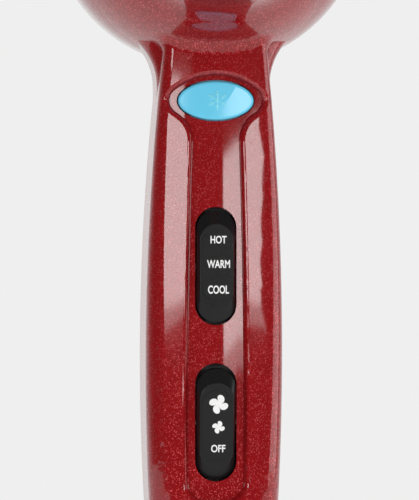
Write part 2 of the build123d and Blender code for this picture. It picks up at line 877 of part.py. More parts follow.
# Rear intake ring, with the lugs of the filter cover's hinge
ring_back = barrel_rear + ring_flange
hinge_y = ring_back + hinge_back
hinge_z = barrel_z - barrel_rear_radius - hinge_drop
lug_start = knuckle_length / 2 + lug_gap
with BuildPart() as rear_ring:
    with BuildSketch(barrel_plane):
        band(barrel_rear, ring_back, ring_inner_radius, barrel_rear_radius)
        band(barrel_rear - ring_spigot, barrel_rear, ring_inner_radius, duct_radius)
    revolve(axis=barrel_axis)
    for side in (-1, 1):
        with BuildSketch(Plane.YZ.offset(side * lug_start)):
            with Locations((hinge_y, hinge_z)):
                Circle(knuckle_radius)
            with Locations(((barrel_rear + hinge_y) / 2, hinge_z)):
                Rectangle(hinge_y - barrel_rear, 2 * knuckle_radius)
            with Locations(((barrel_rear + ring_back) / 2, hinge_z + knuckle_radius)):
                Rectangle(ring_flange, 2 * knuckle_radius)
        extrude(amount=side * lug_length)
    with BuildSketch(Plane.YZ):
        with Locations((hinge_y, hinge_z)):
            Circle(hinge_pin_radius + slip_clearance)
    extrude(amount=lug_start + lug_length, both=True, mode=Mode.SUBTRACT)
save(rear_ring.part, "rear_ring")

with BuildPart() as filter_hinge_pin:
    with BuildSketch(Plane.YZ):
        with Locations((hinge_y, hinge_z)):
            Circle(hinge_pin_radius)
    extrude(amount=lug_start + lug_length, both=True)
save(filter_hinge_pin.part, "filter_hinge_pin")

# Filter cover with a domed slotted face, a knuckle below and a thumb tab on top
cover_radius = barrel_rear_radius - cover_inset
cover_inner = cover_radius - cover_rim
cover_front = ring_back + cover_gap
plate_front = cover_front + cover_rim_depth
plate_back = plate_front + cover_plate
knuckle_back = hinge_y + knuckle_radius
rim_bottom = barrel_z - cover_inner
with BuildPart() as filter_cover:
    with BuildSketch(barrel_plane) as profile:
        with BuildLine():
            ThreePointArc(
                (plate_back, cover_radius),
                (plate_back + cover_dome * 3 / 4, cover_radius / 2),
                (plate_back + cover_dome, 0),
            )
            Polyline(
                (plate_back + cover_dome, 0),
                (plate_front, 0),
                (plate_front, cover_inner),
                (cover_front, cover_inner),
                (cover_front, cover_radius),
                (plate_back, cover_radius),
            )
        make_face()
        fillet(profile.vertices().sort_by(Axis.Y)[-2:], cover_round)
    revolve(axis=barrel_axis)
    slot_step = (cover_inner - cover_hub) / cover_slots
    with BuildSketch(across(plate_front)):
        for index in range(cover_slots, 0, -1):
            Circle(cover_hub + index * slot_step - slot_step / 2 + cover_slot / 2)
            Circle(cover_hub + index * slot_step - slot_step / 2 - cover_slot / 2, mode=Mode.SUBTRACT)
        with PolarLocations(0, cover_ribs // 2, angular_range=180, endpoint=False):
            Rectangle(2 * cover_radius, cover_rib, mode=Mode.SUBTRACT)
    extrude(amount=cover_plate + cover_dome, mode=Mode.SUBTRACT)
    with BuildSketch(Plane.YZ):
        with Locations((hinge_y, hinge_z)):
            Circle(knuckle_radius)
        with Locations(((cover_front + knuckle_back) / 2, (hinge_z + rim_bottom) / 2)):
            Rectangle(knuckle_back - cover_front, rim_bottom - hinge_z)
    extrude(amount=knuckle_length / 2, both=True)
    with BuildSketch(Plane.YZ):
        with Locations((hinge_y, hinge_z)):
            Circle(hinge_pin_radius + running_clearance)
    extrude(amount=knuckle_length, both=True, mode=Mode.SUBTRACT)
    with BuildSketch(Plane.YZ):
        with Locations((plate_front - tab_depth / 2, barrel_z + cover_inner + (cover_rim + tab_height) / 2)):
            Rectangle(tab_depth, cover_rim + tab_height)
    extrude(amount=tab_width / 2, both=True)
save(filter_cover.part, "filter_cover")

with BuildPart() as filter_mesh:
    mesh_radius = cover_inner - fit_gap
    mesh_reach = mesh_radius - mesh_rim - mesh_hole_radius
    mesh_count = 2 * int(mesh_reach / mesh_pitch) + 1
    with BuildSketch(across(plate_front - mesh_thickness)):
        Circle(mesh_radius)
        with GridLocations(mesh_pitch, mesh_pitch, mesh_count, mesh_count) as grid:
            holes = [place.position for place in grid.local_locations if place.position.length < mesh_reach]
        with Locations(*holes):
            Circle(mesh_hole_radius, mode=Mode.SUBTRACT)
    extrude(amount=mesh_thickness)
save(filter_mesh.part, "filter_mesh")

# Fan duct: sleeve, shelf and lip for the heater liner, and a holder for the motor on straight vanes
holder_inner = motor_radius + fit_gap
holder_outer = holder_inner + holder_wall
holder_front = motor_rear - holder_length
lip_inner = liner_radius + liner_fit
with BuildPart() as fan_duct:
    with BuildSketch(barrel_plane):
        band(-duct_front, barrel_rear - ring_spigot, duct_inner, duct_radius)
        band(-duct_front, -duct_front + duct_shelf, lip_inner, duct_inner)
        band(-duct_front - duct_lip, -duct_front + duct_shelf, lip_inner, lip_inner + duct_lip_wall)
        band(holder_front, motor_rear + holder_plate, holder_inner, holder_outer)
        band(motor_rear, motor_rear + holder_plate, holder_hole_radius, holder_inner)
    revolve(axis=barrel_axis)
    with BuildSketch(across(holder_front)):
        with PolarLocations((holder_outer + duct_inner) / 2, vane_count):
            Rectangle(duct_inner - holder_outer + holder_wall, vane_thickness)
    extrude(amount=holder_length)
    with BuildSketch(across(motor_rear)):
        with PolarLocations(motor_screw_circle, 2):
            Circle(screw_radius + screw_clearance)
    extrude(amount=holder_plate, mode=Mode.SUBTRACT)
save(fan_duct.part, "fan_duct")

# Motor: can, magnets, end bell, bearings, brushes and rectifier
bearing_bore = bearing_radius + slip_clearance
boss_outer = bearing_radius + bearing_boss
can_front = motor_rear - can_length
bell_front = can_front - bell_length
magnet_outer = motor_radius - can_wall - slip_clearance
magnet_inner = magnet_outer - magnet_thickness
core_radius = magnet_inner - air_gap
core_rear = motor_rear - bearing_length - winding_overhang - core_clear
core_front = core_rear - core_length
core_middle = (core_rear + core_front) / 2
with BuildPart() as motor_can:
    with BuildSketch(barrel_plane):
        band(can_front, motor_rear, motor_radius - can_wall, motor_radius)
        band(motor_rear - can_face, motor_rear, bearing_bore, motor_radius)
        band(motor_rear - bearing_length, motor_rear, bearing_bore, boss_outer)
    revolve(axis=barrel_axis)
    with BuildSketch(across(motor_rear - can_face)):
        with PolarLocations(motor_screw_circle, 2):
            Circle(screw_radius + screw_clearance)
    extrude(amount=can_face, mode=Mode.SUBTRACT)
save(motor_can.part, "motor_can")

with BuildPart() as motor_screws:
    for side in (-1, 1):
        seat = (side * motor_screw_circle, motor_rear + holder_plate, barrel_z)
        add(pan_screw(seat, (0, 1, 0), holder_plate + can_face))
save(motor_screws.part, "motor_screws")

with BuildPart() as motor_magnets:
    for middle in (0, 180):
        turn = radians(middle + magnet_span / 2)
        with BuildSketch(Plane(barrel_plane.origin, x_dir=(0, 1, 0), z_dir=(cos(turn), 0, sin(turn)))):
            band(core_middle - magnet_length / 2, core_middle + magnet_length / 2, magnet_inner, magnet_outer)
        revolve(axis=barrel_axis, revolution_arc=magnet_span)
save(motor_magnets.part, "motor_magnets")

with BuildPart() as motor_end_bell:
    with BuildSketch(barrel_plane):
        band(bell_front, can_front, motor_radius - bell_wall, motor_radius)
        band(bell_front, bell_front + bell_face, bearing_bore, motor_radius)
        band(bell_front, bell_front + bearing_length, bearing_bore, boss_outer)
    revolve(axis=barrel_axis)
save(motor_end_bell.part, "motor_end_bell")

for name, front in (("rear_bearing", motor_rear - bearing_length), ("front_bearing", bell_front)):
    with BuildPart() as bearing:
        with BuildSketch(barrel_plane):
            band(front, front + bearing_length, shaft_radius + running_clearance, bearing_radius)
        revolve(axis=barrel_axis)
    save(bearing.part, name)

brush_y = can_front - fit_gap - brush_width / 2
with BuildPart() as motor_brushes:
    brush_start = commutator_radius + brush_gap
    brush_end = motor_radius - bell_wall - fit_gap
    with BuildSketch(across(brush_y - brush_width / 2)):
        for side in (-1, 1):
            with Locations((side * (brush_start + brush_end) / 2, 0)):
                Rectangle(brush_end - brush_start, brush_thickness)
    extrude(amount=brush_width)
save(motor_brushes.part, "motor_brushes")

board_front = bell_front - board_thickness
with BuildPart() as rectifier_board:
    with BuildSketch(barrel_plane):
        band(board_front, bell_front, board_hole_radius, motor_radius - bell_wall)
    revolve(axis=barrel_axis)
save(rectifier_board.part, "rectifier_board")

with BuildPart() as rectifier_diodes:
    with BuildSketch(across(board_front)):
        with PolarLocations(diode_circle, 4, start_angle=45):
            Circle(diode_radius)
    extrude(amount=-diode_length)
save(rectifier_diodes.part, "rectifier_diodes")

# Rotor: shaft, armature, winding, commutator and impeller
fan_front = motor_rear + holder_plate + fan_standoff
fan_rear = fan_front + fan_length
with BuildPart() as motor_shaft:
    with BuildSketch(barrel_plane):
        band(board_front - shaft_tail, fan_rear, 0, shaft_radius)
    revolve(axis=barrel_axis)
save(motor_shaft.part, "motor_shaft")

slot_middle = core_radius - slot_depth / 2
with BuildPart() as armature_core:
    with BuildSketch(across(core_front)):
        Circle(core_radius)
        Circle(shaft_radius + slip_clearance, mode=Mode.SUBTRACT)
        with PolarLocations(slot_middle + slot_depth / 2, core_slots):
            Rectangle(2 * slot_depth, slot_span, mode=Mode.SUBTRACT)
    extrude(amount=core_length)
save(armature_core.part, "armature_core")

winding_inner = core_radius - slot_depth + winding_clearance
winding_outer = core_radius - winding_inset
with BuildPart() as armature_winding:
    with BuildSketch(across(core_front)):
        with PolarLocations((winding_inner + winding_outer) / 2, core_slots):
            Rectangle(winding_outer - winding_inner, slot_span - 2 * winding_clearance)
    extrude(amount=core_length)
    with BuildSketch(barrel_plane):
        band(core_rear, core_rear + winding_overhang, winding_inner, winding_outer)
        band(core_front - winding_overhang, core_front, winding_inner, winding_outer)
    revolve(axis=barrel_axis)
save(armature_winding.part, "armature_winding")

commutator_rear = core_front - winding_overhang - commutator_clear
with BuildPart() as commutator:
    with BuildSketch(across(commutator_rear)):
        Circle(commutator_radius)
        Circle(shaft_radius + slip_clearance, mode=Mode.SUBTRACT)
        with PolarLocations(commutator_radius, commutator_bars):
            Rectangle(2 * commutator_slit_depth, commutator_slit, mode=Mode.SUBTRACT)
    extrude(amount=-commutator_length)
save(commutator.part, "commutator")

fan_radius = duct_inner - fan_gap
fan_hub_inner = fan_hub_radius - fan_hub_wall
with BuildPart() as impeller:
    for index in range(fan_blades):
        turn = radians(360 / fan_blades * index)
        outward = Vector(cos(turn), 0, sin(turn))
        sideways = Vector(-sin(turn), 0, cos(turn))
        middle = Vector(0, (fan_front + fan_rear) / 2, barrel_z)
        for radius, angle in ((fan_hub_inner, blade_root_angle), (duct_inner, blade_tip_angle)):
            lean = radians(angle)
            chord = Vector(0, cos(lean), 0) + sideways * sin(lean)
            with BuildSketch(Plane(origin=middle + outward * radius, x_dir=chord, z_dir=outward)):
                Rectangle((fan_length - blade_thickness) / cos(lean) - blade_thickness, blade_thickness)
        loft()
    with BuildSketch(barrel_plane):
        band(fan_front, fan_rear, fan_hub_inner, fan_radius)
    revolve(axis=barrel_axis, mode=Mode.INTERSECT)
    with BuildSketch(barrel_plane):
        band(fan_front, fan_rear, fan_hub_inner, fan_hub_radius)
        band(fan_rear - 2 * fan_hub_wall, fan_rear, shaft_radius + slip_clearance, fan_hub_radius)
        band(fan_front, fan_rear, shaft_radius + slip_clearance, shaft_radius + fan_hub_wall)
    revolve(axis=barrel_axis)
save(impeller.part, "impeller")

# Heater: liner, two crossed boards, the winding on them, thermostat and fuse
liner_inner = liner_radius - liner_thickness
liner_front = -barrel_front + collar_spigot
with BuildPart() as heater_liner:
    with BuildSketch(barrel_plane):
        band(liner_front, -duct_front + duct_shelf, liner_inner, liner_radius)
    revolve(axis=barrel_axis)
save(heater_liner.part, "heater_liner")

mica_half = liner_inner - mica_margin
mica_rear = -duct_front - mica_setback
mica_front = liner_front + mica_end_gap
mica_middle = (mica_rear + mica_front) / 2
coil_radius = liner_inner - coil_margin
coil_rear = mica_rear - coil_start
notch_floor = coil_radius - coil_wire / 2 - notch_clearance
notch_width = coil_wire + 2 * notch_clearance
with BuildPart() as heater_board_flat:
    with BuildSketch(Plane.XY.offset(barrel_z - mica_thickness / 2)):
        with Locations((0, mica_middle)):
            Rectangle(2 * mica_half, mica_rear - mica_front)
        with Locations((0, mica_rear)):
            Rectangle(mica_thickness + 2 * mica_joint_gap, mica_rear - mica_front, mode=Mode.SUBTRACT)
        for quarter in range(0, 4 * coil_turns + 1, 2):
            side = 1 if quarter % 4 == 0 else -1
            with Locations((side * (notch_floor + coil_margin), coil_rear - coil_pitch * quarter / 4)):
                Rectangle(2 * coil_margin, notch_width, mode=Mode.SUBTRACT)
    extrude(amount=mica_thickness)
save(heater_board_flat.part, "heater_board_flat")

with BuildPart() as heater_board_upright:
    with BuildSketch(Plane.YZ.offset(-mica_thickness / 2)):
        with Locations((mica_middle, barrel_z)):
            Rectangle(mica_rear - mica_front, 2 * mica_half)
        with Locations((mica_front, barrel_z)):
            Rectangle(mica_rear - mica_front, mica_thickness + 2 * mica_joint_gap, mode=Mode.SUBTRACT)
        for quarter in range(1, 4 * coil_turns, 2):
            side = 1 if quarter % 4 == 1 else -1
            notch_z = barrel_z + side * (notch_floor + coil_margin)
            with Locations((coil_rear - coil_pitch * quarter / 4, notch_z)):
                Rectangle(notch_width, 2 * coil_margin, mode=Mode.SUBTRACT)
    extrude(amount=mica_thickness)
save(heater_board_upright.part, "heater_board_upright")

coil_plane = Plane(origin=(0, coil_rear, barrel_z), x_dir=(1, 0, 0), z_dir=(0, -1, 0))
with BuildPart() as heater_winding:
    add(wound_tube(coil_radius, coil_pitch, coil_turns, coil_wire, coil_plane))
save(heater_winding.part, "heater_winding")

with BuildPart() as thermostat:
    with BuildSketch(Plane.YZ.offset(mica_thickness / 2)):
        with Locations((mica_middle, barrel_z + stat_offset)):
            Rectangle(stat_length, stat_width)
    extrude(amount=stat_thickness)
save(thermostat.part, "thermostat")

with BuildPart() as thermal_fuse:
    with BuildSketch(across(mica_middle)):
        with Locations((stat_offset, -mica_thickness / 2 - fuse_radius)):
            Circle(fuse_radius)
    extrude(amount=fuse_length / 2, both=True)
save(thermal_fuse.part, "thermal_fuse")
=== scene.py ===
import bpy
import json
import math
import numpy as np
from mathutils import Matrix, Vector


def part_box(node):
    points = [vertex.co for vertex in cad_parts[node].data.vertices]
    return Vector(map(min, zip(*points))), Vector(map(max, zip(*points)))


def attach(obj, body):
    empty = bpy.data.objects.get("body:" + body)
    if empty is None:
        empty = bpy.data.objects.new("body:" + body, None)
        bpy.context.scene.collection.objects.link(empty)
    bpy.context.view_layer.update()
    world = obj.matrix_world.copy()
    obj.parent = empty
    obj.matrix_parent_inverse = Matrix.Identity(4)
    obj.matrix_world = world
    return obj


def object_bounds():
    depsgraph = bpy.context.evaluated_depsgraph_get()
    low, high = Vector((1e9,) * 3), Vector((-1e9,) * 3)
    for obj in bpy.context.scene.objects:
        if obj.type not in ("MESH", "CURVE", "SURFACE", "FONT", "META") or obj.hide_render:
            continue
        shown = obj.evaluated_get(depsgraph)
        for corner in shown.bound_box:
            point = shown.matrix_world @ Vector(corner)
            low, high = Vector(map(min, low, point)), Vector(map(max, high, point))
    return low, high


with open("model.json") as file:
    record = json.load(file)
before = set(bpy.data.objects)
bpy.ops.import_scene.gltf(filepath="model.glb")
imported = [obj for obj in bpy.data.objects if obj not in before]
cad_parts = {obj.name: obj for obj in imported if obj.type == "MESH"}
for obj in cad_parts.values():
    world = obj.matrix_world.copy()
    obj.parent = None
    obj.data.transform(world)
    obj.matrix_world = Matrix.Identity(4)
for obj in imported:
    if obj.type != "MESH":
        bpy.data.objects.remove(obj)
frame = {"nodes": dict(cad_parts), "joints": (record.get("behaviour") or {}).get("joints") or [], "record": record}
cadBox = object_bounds()
nodes = frame["nodes"]
joints = {j["name"]: j for j in frame["joints"]}
mm = 0.001
print("dryer loaded:", len(nodes), "nodes")


def plug(tree, slot, value):
    # a socket is linked, a number or a colour is set
    if isinstance(value, Sock):
        tree.links.new(value.socket, slot)
    else:
        slot.default_value = value


def addNode(tree, kind, settings=None, inputs=None, output=0):
    made = tree.nodes.new("ShaderNode" + kind)
    for key, value in (settings or {}).items():
        if key == "stops":
            ramp = made.color_ramp.elements
            while len(ramp) < len(value):
                ramp.new(0.5)
            for element, (place, colour) in zip(ramp, value):
                element.position = place
                element.color = colour
        else:
            setattr(made, key, value)
    for key, value in (inputs or {}).items():
        plug(tree, made.inputs[key], value)
    return Sock(tree, made.outputs[output])


# a shader socket whose operators add Math nodes
class Sock:
    def __init__(self, tree, socket):
        self.tree = tree
        self.socket = socket

    def math(self, operation, *others):
        return addNode(self.tree, "Math", {"operation": operation}, dict(enumerate((self,) + others)))

    def __add__(self, other):
        return self.math("ADD", other)

    def __mul__(self, other):
        return self.math("MULTIPLY", other)

    def __gt__(self, other):
        return self.math("GREATER_THAN", other)

    __radd__ = __add__
    __rmul__ = __mul__

    def clamp(self):
        held = self.math("ADD", 0.0)
        held.socket.node.use_clamp = True
        return held

    def beside(self, output):
        # another output of the same node
        return Sock(self.tree, self.socket.node.outputs[output])


# one finish: a Principled shader and the nodes that feed it
class Finish:
    def __init__(self, name, **fixed):
        self.material = bpy.data.materials.new(name)
        self.material.use_nodes = True
        self.tree = self.material.node_tree
        self.tree.nodes.clear()
        self.shader = self.node("BsdfPrincipled")
        self.surface = self.tree.nodes.new("ShaderNodeOutputMaterial").inputs[0]
        plug(self.tree, self.surface, self.shader)
        for key, value in fixed.items():
            self.feed(key.replace("_", " "), value)

    def feed(self, key, value):
        plug(self.tree, self.shader.socket.node.inputs[key], value)

    def node(self, kind, settings=None, inputs=None, output=0):
        return addNode(self.tree, kind, settings, inputs, output)

    def place(self):
        return self.node("TexCoord", output="Object")

    def noise(self, scale, detail=3.0, rough=0.5, where=None):
        inputs = {"Vector": where or self.place(), "Scale": scale, "Detail": detail, "Roughness": rough}
        return self.node("TexNoise", None, inputs, "Fac")

    def cells(self, scale):
        return self.node("TexVoronoi", {"feature": "F1"}, {"Vector": self.place(), "Scale": scale}, "Color")

    def mix(self, share, first, second):
        return self.node("Mix", {"data_type": "RGBA"}, {0: share, 6: first, 7: second}, 2)

    def vector(self, operation, inputs):
        return self.node("VectorMath", {"operation": operation}, inputs)

    def bump(self, height, strength, distance):
        inputs = {"Strength": strength, "Distance": distance, "Height": height}
        self.feed("Normal", self.node("Bump", None, inputs))


def rgb(red, green, blue):
    # display values 0-255 to linear light
    plain = [v / 255 for v in (red, green, blue)]
    linear = [v / 12.92 if v <= 0.04045 else ((v + 0.055) / 1.055) ** 2.4 for v in plain]
    return tuple(linear) + (1.0,)


# Red flake lacquer: tinted metal flakes, each with its own tilt, under a smooth clear coat
lacquer = {
    "deep": rgb(130, 7, 12),
    "light": rgb(152, 11, 17),
    "cloud": 220.0,
    "metal": 0.22,
    "rough": 0.5,
    "gloss": 0.05,
    "coatRough": 0.045,
    "flake": rgb(196, 72, 76),
    "cell": 0.26 * mm,
    "tilt": 0.3,
    "share": 0.14,
    "flakeMetal": 0.75,
    "flakeRough": 0.4,
}


def flakeLacquer():
    f = Finish("redFlakeLacquer", IOR=1.5, Specular_IOR_Level=lacquer["gloss"], Coat_Weight=1.0,
               Coat_Roughness=lacquer["coatRough"], Coat_IOR=1.52)
    spot = f.cells(1 / lacquer["cell"])
    luck = f.node("SeparateColor", None, {"Color": spot}, 2)
    mask = luck > (1 - lacquer["share"])
    base = f.mix(f.noise(lacquer["cloud"], 2.0), lacquer["deep"], lacquer["light"])
    f.feed("Base Color", f.mix(mask, base, lacquer["flake"]))
    f.feed("Metallic", mask * (lacquer["flakeMetal"] - lacquer["metal"]) + lacquer["metal"])
    f.feed("Roughness", mask * (lacquer["flakeRough"] - lacquer["rough"]) + lacquer["rough"])
    shift = f.vector("SUBTRACT", {0: spot, 1: (0.5, 0.5, 0.5)})
    lean = f.vector("SCALE", {0: shift, "Scale": lacquer["tilt"]})
    total = f.vector("ADD", {0: f.node("NewGeometry", output="Normal"), 1: lean})
    f.feed("Normal", f.vector("NORMALIZE", {0: total}))
    return f.material


# Moulded plastic: slight cloudiness, uneven gloss and a fine skin
plastic = {"cloud": 60.0, "lighter": 1.35, "haze": 0.004, "uneven": 0.12, "skinStrength": 0.35}


def moulded(name, colour, rough, skin, grain=1600.0, gloss=0.5):
    f = Finish(name, IOR=1.48, Specular_IOR_Level=gloss)
    cloud = f.noise(plastic["cloud"])
    light = tuple(min(1.0, v * plastic["lighter"] + plastic["haze"]) for v in colour[:3]) + (1.0,)
    f.feed("Base Color", f.mix(cloud, colour, light))
    f.feed("Roughness", cloud * plastic["uneven"] + (rough - plastic["uneven"] / 2))
    f.bump(f.noise(grain, 2.0), plastic["skinStrength"], skin)
    return f.material


# Metal: drawn streaks in gloss, with a little tarnish
metal = {"streaks": 700.0, "uneven": 0.2, "skinStrength": 0.15, "skin": 0.02 * mm}


def drawnMetal(name, colour, dull, rough, stretch=(1.0, 12.0, 1.0)):
    f = Finish(name, Metallic=1.0)
    drawn = f.node("Mapping", None, {"Vector": f.place(), "Scale": stretch})
    streak = f.noise(metal["streaks"], 3.0, 0.6, drawn)
    f.feed("Base Color", f.mix(streak, colour, dull))
    f.feed("Roughness", streak * metal["uneven"] + (rough - metal["uneven"] / 2))
    f.bump(streak, metal["skinStrength"], metal["skin"])
    return f.material


# Pressed mica: layered flakes of pale brown with dark fleck
mica = {
    "dark": rgb(158, 136, 104),
    "pale": rgb(206, 188, 152),
    "layers": 180.0,
    "flecks": 420.0,
    "fleckShare": 0.25,
    "rough": 0.3,
    "uneven": 0.3,
    "skinStrength": 0.3,
    "skin": 0.06 * mm,
}


def micaSheet():
    f = Finish("pressedMica", IOR=1.56)
    layer = f.noise(mica["layers"], 5.0, 0.65)
    tint = f.mix(layer, mica["dark"], mica["pale"])
    f.feed("Base Color", f.mix(mica["fleckShare"], tint, f.cells(mica["flecks"])))
    f.feed("Roughness", layer * mica["uneven"] + mica["rough"])
    f.bump(layer, mica["skinStrength"], mica["skin"])
    return f.material


# Wound copper: bands of lacquered wire across the winding, with painted shade darkening the grooves between the
# strands
copper = {
    "paintedGrooveShade": rgb(120, 52, 22),
    "bright": rgb(206, 122, 70),
    "strands": 520.0,
    "waver": 1.5,
    "varnish": 0.6,
    "varnishRough": 0.2,
    "wireStrength": 0.6,
    "wire": 0.1 * mm,
}


def woundCopper():
    f = Finish("woundCopper", Coat_Weight=copper["varnish"], Coat_Roughness=copper["varnishRough"])
    bands = {"Vector": f.place(), "Scale": copper["strands"], "Distortion": copper["waver"], "Detail": 1.0}
    strands = f.node("TexWave", {"wave_type": "BANDS", "bands_direction": "X"}, bands, "Fac")
    # painted shade: each strand's colour darkens from its crest into the grooves beside it
    f.feed("Base Color", f.mix(strands, copper["paintedGrooveShade"], copper["bright"]))
    f.feed("Metallic", strands * 0.3 + 0.6)  # duller between the strands
    f.feed("Roughness", strands * -0.15 + 0.45)
    f.bump(strands, copper["wireStrength"], copper["wire"])
    return f.material


# Blue of the button: a pale milky plastic under gloss; lift makes the snowflake paler
blue = {
    "deep": (92, 202, 236),
    "pale": (100, 207, 239),
    "cloud": 90.0,
    "gloss": 0.2,
    "coatRough": 0.17,
    "rough": 0.3,
    "uneven": 0.1,
    "grain": 900.0,
    "skinStrength": 0.08,
    "skin": 0.01 * mm,
}


def milkyBlue(name, lift):
    f = Finish(name, IOR=1.5, Specular_IOR_Level=blue["gloss"], Coat_Weight=1.0,
               Coat_Roughness=blue["coatRough"], Coat_IOR=1.5)
    cloud = f.noise(blue["cloud"])
    deep, pale = (rgb(r + lift, g + lift / 2, b) for r, g, b in (blue["deep"], blue["pale"]))
    f.feed("Base Color", f.mix(cloud, deep, pale))
    f.feed("Roughness", cloud * blue["uneven"] + blue["rough"])
    f.bump(f.noise(blue["grain"], 2.0), blue["skinStrength"], blue["skin"])
    return f.material


# Ink of the signs: slightly cloudy white
ink = {"thin": rgb(226, 226, 224), "full": rgb(250, 250, 250), "cloud": 1500.0, "rough": 0.4, "uneven": 0.2}


def whiteInk():
    f = Finish("whiteInk", IOR=1.45)
    cloud = f.noise(ink["cloud"])
    f.feed("Base Color", f.mix(cloud, ink["thin"], ink["full"]))
    f.feed("Roughness", cloud * ink["uneven"] + ink["rough"])
    return f.material


finishes = {
    # plastics: colour, roughness, depth of the skin, its grain, gloss
    "red_lacquer": flakeLacquer(),
    "black_plastic": moulded("satinBlack", rgb(26, 26, 27), 0.46, 0.03 * mm),
    "rocker_black": moulded("rockerBlack", rgb(18, 18, 19), 0.28, 0.006 * mm, 2400.0, 0.25),
    "blue_button": milkyBlue("milkyBlue", 0),
    "grey_plastic": moulded("switchGrey", rgb(92, 92, 92), 0.5, 0.03 * mm),
    "duct_plastic": moulded("ductBlack", rgb(48, 48, 50), 0.55, 0.04 * mm),
    "bell_plastic": moulded("bellCream", rgb(196, 192, 182), 0.5, 0.03 * mm),
    "ferrite": moulded("ferrite", rgb(62, 62, 64), 0.6, 0.08 * mm, 900.0),
    "carbon": moulded("carbonBlock", rgb(38, 38, 40), 0.55, 0.05 * mm, 1200.0),
    "circuit_board": moulded("boardPaper", rgb(154, 136, 88), 0.5, 0.03 * mm, 500.0),
    "diode_black": moulded("diodeBlack", rgb(30, 30, 30), 0.35, 0.01 * mm),
    "fuse_white": moulded("fuseWhite", rgb(218, 218, 212), 0.4, 0.01 * mm),
    "rubber": moulded("glandRubber", rgb(24, 24, 24), 0.62, 0.05 * mm, 900.0),
    # metals: bright colour, dull colour, roughness
    "steel": drawnMetal("brightSteel", rgb(198, 199, 200), rgb(150, 151, 153), 0.3),
    "steel_mesh": drawnMetal("filterSteel", rgb(158, 158, 160), rgb(112, 112, 114), 0.42),
    "plated_steel": drawnMetal("platedSteel", rgb(204, 202, 196), rgb(160, 158, 150), 0.34),
    "brass": drawnMetal("terminalBrass", rgb(220, 188, 116), rgb(176, 140, 76), 0.3),
    "bronze": drawnMetal("sinteredBronze", rgb(176, 146, 104), rgb(128, 100, 66), 0.5),
    "heater_wire": drawnMetal("heaterWire", rgb(168, 164, 160), rgb(96, 84, 84), 0.45, (6.0, 6.0, 6.0)),
    "copper": woundCopper(),
    "mica": micaSheet(),
}
inkWhite = whiteInk()

for part in frame["record"]["subparts"]:
    mesh = nodes[part["node"]].data
    mesh.materials.clear()
    mesh.materials.append(finishes[part["material_slot"]])
print("finishes on", len(nodes), "nodes")


def addPiece(name, mesh, body, finish):
    piece = bpy.data.objects.new(name, mesh)
    bpy.context.scene.collection.objects.link(piece)
    mesh.materials.clear()
    mesh.materials.append(finish)
    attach(piece, body)


def gridMesh(name, points, closedU=False):
    # a grid of points (rows by columns by 3) as quads; closedU joins the last row to the first
    rows, cols = points.shape[:2]
    index = np.arange(rows * cols).reshape(rows, cols)
    a = index if closedU else index[:-1]
    b = np.roll(index, -1, 0) if closedU else index[1:]
    faces = np.stack([a[:, :-1], a[:, 1:], b[:, 1:], b[:, :-1]], -1).reshape(-1, 4)
    mesh = bpy.data.meshes.new(name)
    mesh.from_pydata(points.reshape(-1, 3).tolist(), [], faces.tolist())
    mesh.update()
    return mesh


# Printed signs: flat plates of ink on the pads of the rockers
prints = {
    "ink": 0.04 * mm,  # thickness of the print
    "bold": 0.022,  # stroke weight added to the letters
    "centreX": 0.5 * mm,  # the prints sit a little right of the middle
    "words": {
        # rocker, height above its middle, width, height of the letters
        "HOT": ("temperature_rocker", 7.55 * mm, 4.6 * mm, 2.2 * mm),
        "WARM": ("temperature_rocker", 0.6 * mm, 6.6 * mm, 2.3 * mm),
        "COOL": ("temperature_rocker", -6.7 * mm, 6.0 * mm, 2.35 * mm),
        "OFF": ("speed_rocker", -6.65 * mm, 4.1 * mm, 2.15 * mm),
    },
    # height above the rocker's middle, radius
    "fans": {"fanFast": (6.1 * mm, 2.75 * mm), "fanSlow": (-0.5 * mm, 1.82 * mm)},
    "petals": 4,
    "petalBulge": 0.55,
    "petalRoot": 0.26,  # share of the radius between two petals
    "petalWind": 0.55,  # radians that a petal leans over at the tip
    "tilt": 6.0,  # the speed rocker is stored with its lower end pressed
}


def padFace(body):
    # the rocker's pad at rest, untilted: its face, its middle and the turn that carries it there
    low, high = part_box("temperature_rocker")
    pivot = Vector(joints["temperature_rock" if body == "temperature_rocker" else "speed_rock"]["pos_m"])
    tilt = 0.0 if body == "temperature_rocker" else math.radians(prints["tilt"])
    turn = Matrix.Translation(pivot) @ Matrix.Rotation(tilt, 4, "X") @ Matrix.Translation(-pivot)
    return low.y, pivot.z, turn


def wordMesh(word, rise, width, height, body):
    # the word as a thin solid, stretched to its printed box on the pad
    line = bpy.data.curves.new(word, "FONT")
    line.body = word
    line.align_x = "CENTER"
    line.offset = prints["bold"]
    line.extrude = 0.5
    holder = bpy.data.objects.new(word, line)
    bpy.context.scene.collection.objects.link(holder)
    bpy.context.view_layer.update()
    mesh = bpy.data.meshes.new_from_object(holder.evaluated_get(bpy.context.evaluated_depsgraph_get()))
    bpy.data.objects.remove(holder)
    flat = np.empty(len(mesh.vertices) * 3)
    mesh.vertices.foreach_get("co", flat)
    flat = flat.reshape(-1, 3)
    low, high = flat.min(0), flat.max(0)
    unit = (flat - low) / (high - low)
    face, middle, turn = padFace(body)
    put = np.empty_like(flat)
    put[:, 0] = prints["centreX"] + (unit[:, 0] - 0.5) * width
    put[:, 1] = face - unit[:, 2] * prints["ink"]
    put[:, 2] = middle + rise + (unit[:, 1] - 0.5) * height
    mesh.vertices.foreach_set("co", put.ravel())
    mesh.transform(turn)
    mesh.update()
    return mesh


